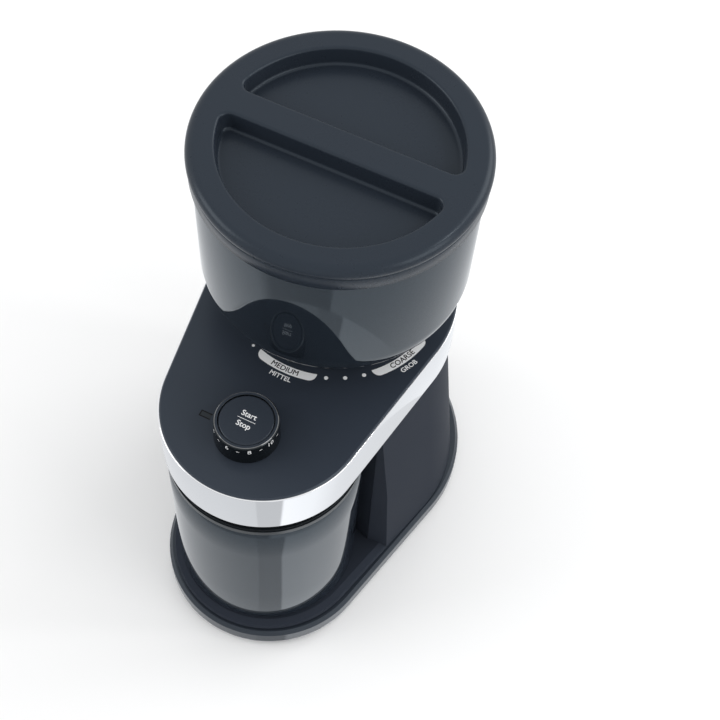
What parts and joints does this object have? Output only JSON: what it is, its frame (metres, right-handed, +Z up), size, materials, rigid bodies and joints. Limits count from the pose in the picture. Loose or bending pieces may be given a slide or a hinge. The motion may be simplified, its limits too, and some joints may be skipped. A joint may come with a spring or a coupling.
{
  "type": "burr coffee grinder",
  "caption": "Electric burr coffee grinder with a round flared base, an overhanging chrome-banded head with a timer knob, a smoky lift-off hopper and a slide-out grounds cup.",
  "frame": {"origin": "centre of the footprint on the table plane, under the rubber feet", "axes": "+Z up; -Y to the front, where the timer knob and the grounds cup are; +X to the right seen from the front"},
  "size_m": [0.17, 0.24, 0.3286],
  "materials": {
    "body_plastic": "satin",
    "head_plastic": "matte",
    "gloss_black": "gloss",
    "smoke_plastic": "gloss",
    "lid_plastic": "satin",
    "chrome": "polished",
    "steel": "ground",
    "zinc": "zinc plated",
    "brass": "turned",
    "rubber": "matte",
    "nylon": "matte",
    "board": "satin",
    "magnet": "matte"
  },
  "bodies": {
    "housing": {"base_tray": "body_plastic", "rubber_feet": "rubber", "base_screws": "zinc", "body_shell": "body_plastic", "niche_panel": "body_plastic", "cord_grommet": "rubber", "head_shell": "body_plastic", "chrome_band": "chrome", "top_plate": "head_plastic", "plate_screws": "gloss_black", "burr_chamber": "head_plastic", "shaft_seal": "rubber", "upper_bearing": "steel", "outlet_duct": "body_plastic", "gearbox_cover": "body_plastic", "gear_plate": "zinc", "gear_standoffs": "brass", "gear_screws": "zinc", "lower_bushing": "brass", "layshaft_pin": "steel", "motor_can": "zinc", "motor_magnets": "magnet", "motor_endcap": "body_plastic", "control_board": "board", "timer_encoder": "zinc", "hopper_switch": "gloss_black"},
    "adjuster": {"adjuster_ring": "steel", "adjuster_key": "chrome"},
    "outer_burr": {"ring_burr": "steel"},
    "hopper": {"hopper_bowl": "smoke_plastic", "hopper_funnel": "lid_plastic", "hopper_neck": "gloss_black", "hopper_screws": "zinc"},
    "lid": {"hopper_lid": "lid_plastic", "lid_seal": "rubber"},
    "burr_drive": {"burr_shaft": "steel", "cone_burr": "steel", "burr_nut": "steel", "impeller": "nylon", "output_gear": "nylon"},
    "layshaft": {"lay_wheel": "nylon", "lay_pinion": "steel"},
    "rotor": {"motor_rotor": "steel", "motor_pinion": "steel"},
    "dial": {"timer_dial": "gloss_black", "button_spring": "steel"},
    "button": {"start_button": "gloss_black"},
    "lock_pin": {"hopper_pin": "steel"},
    "cup": {"grounds_cup": "smoke_plastic", "cup_lid": "gloss_black", "cup_seal": "rubber"}
  },
  "joints": [
    {"name": "grind_turn", "type": "hinge", "parent": "housing", "child": "adjuster", "pos_m": [0, 0.027, 0.147], "axis": [0, 0, 1], "range_deg": [-65, 65]},
    {"name": "burr_gap", "type": "slide", "parent": "housing", "child": "outer_burr", "axis": [0, 0, 1], "range_m": [-0.00055, 0.00055]},
    {"name": "hopper_lift", "type": "slide", "parent": "adjuster", "child": "hopper", "axis": [0, 0, 1], "range_m": [0, 0.2]},
    {"name": "lid_lift", "type": "slide", "parent": "hopper", "child": "lid", "axis": [0, 0, 1], "range_m": [0, 0.06]},
    {"name": "motor_spin", "type": "hinge", "parent": "housing", "child": "rotor", "pos_m": [0, 0.05797, 0.06], "axis": [0, 0, 1], "continuous": true},
    {"name": "layshaft_spin", "type": "hinge", "parent": "housing", "child": "layshaft", "pos_m": [-0.02212, 0.04249, 0.095], "axis": [0, 0, 1], "continuous": true},
    {"name": "burr_spin", "type": "hinge", "parent": "housing", "child": "burr_drive", "pos_m": [0, 0.027, 0.11], "axis": [0, 0, 1], "continuous": true},
    {"name": "timer_turn", "type": "hinge", "parent": "housing", "child": "dial", "pos_m": [0, -0.0776, 0.207], "axis": [0, 0, 1], "range_deg": [-183, 0]},
    {"name": "start_press", "type": "slide", "parent": "dial", "child": "button", "axis": [0, 0, 1], "range_m": [-0.002, 0], "stiffness_N_per_m": 400, "springref_m": 0.001, "deforming": ["button_spring"]},
    {"name": "lock_pin_press", "type": "slide", "parent": "housing", "child": "lock_pin", "axis": [0, 0, 1], "range_m": [-0.002, 0], "stiffness_N_per_m": 100, "springref_m": 0.001},
    {"name": "cup_slide", "type": "slide", "parent": "housing", "child": "cup", "axis": [0, -1, 0], "range_m": [0, 0.14]}
  ],
  "couplings": [
    {"joint": "burr_gap", "follows": "grind_turn", "m_per_rad": 0.000477},
    {"joint": "layshaft_spin", "follows": "motor_spin", "ratio": -0.28571},
    {"joint": "burr_spin", "follows": "motor_spin", "ratio": 0.081633}
  ]
}
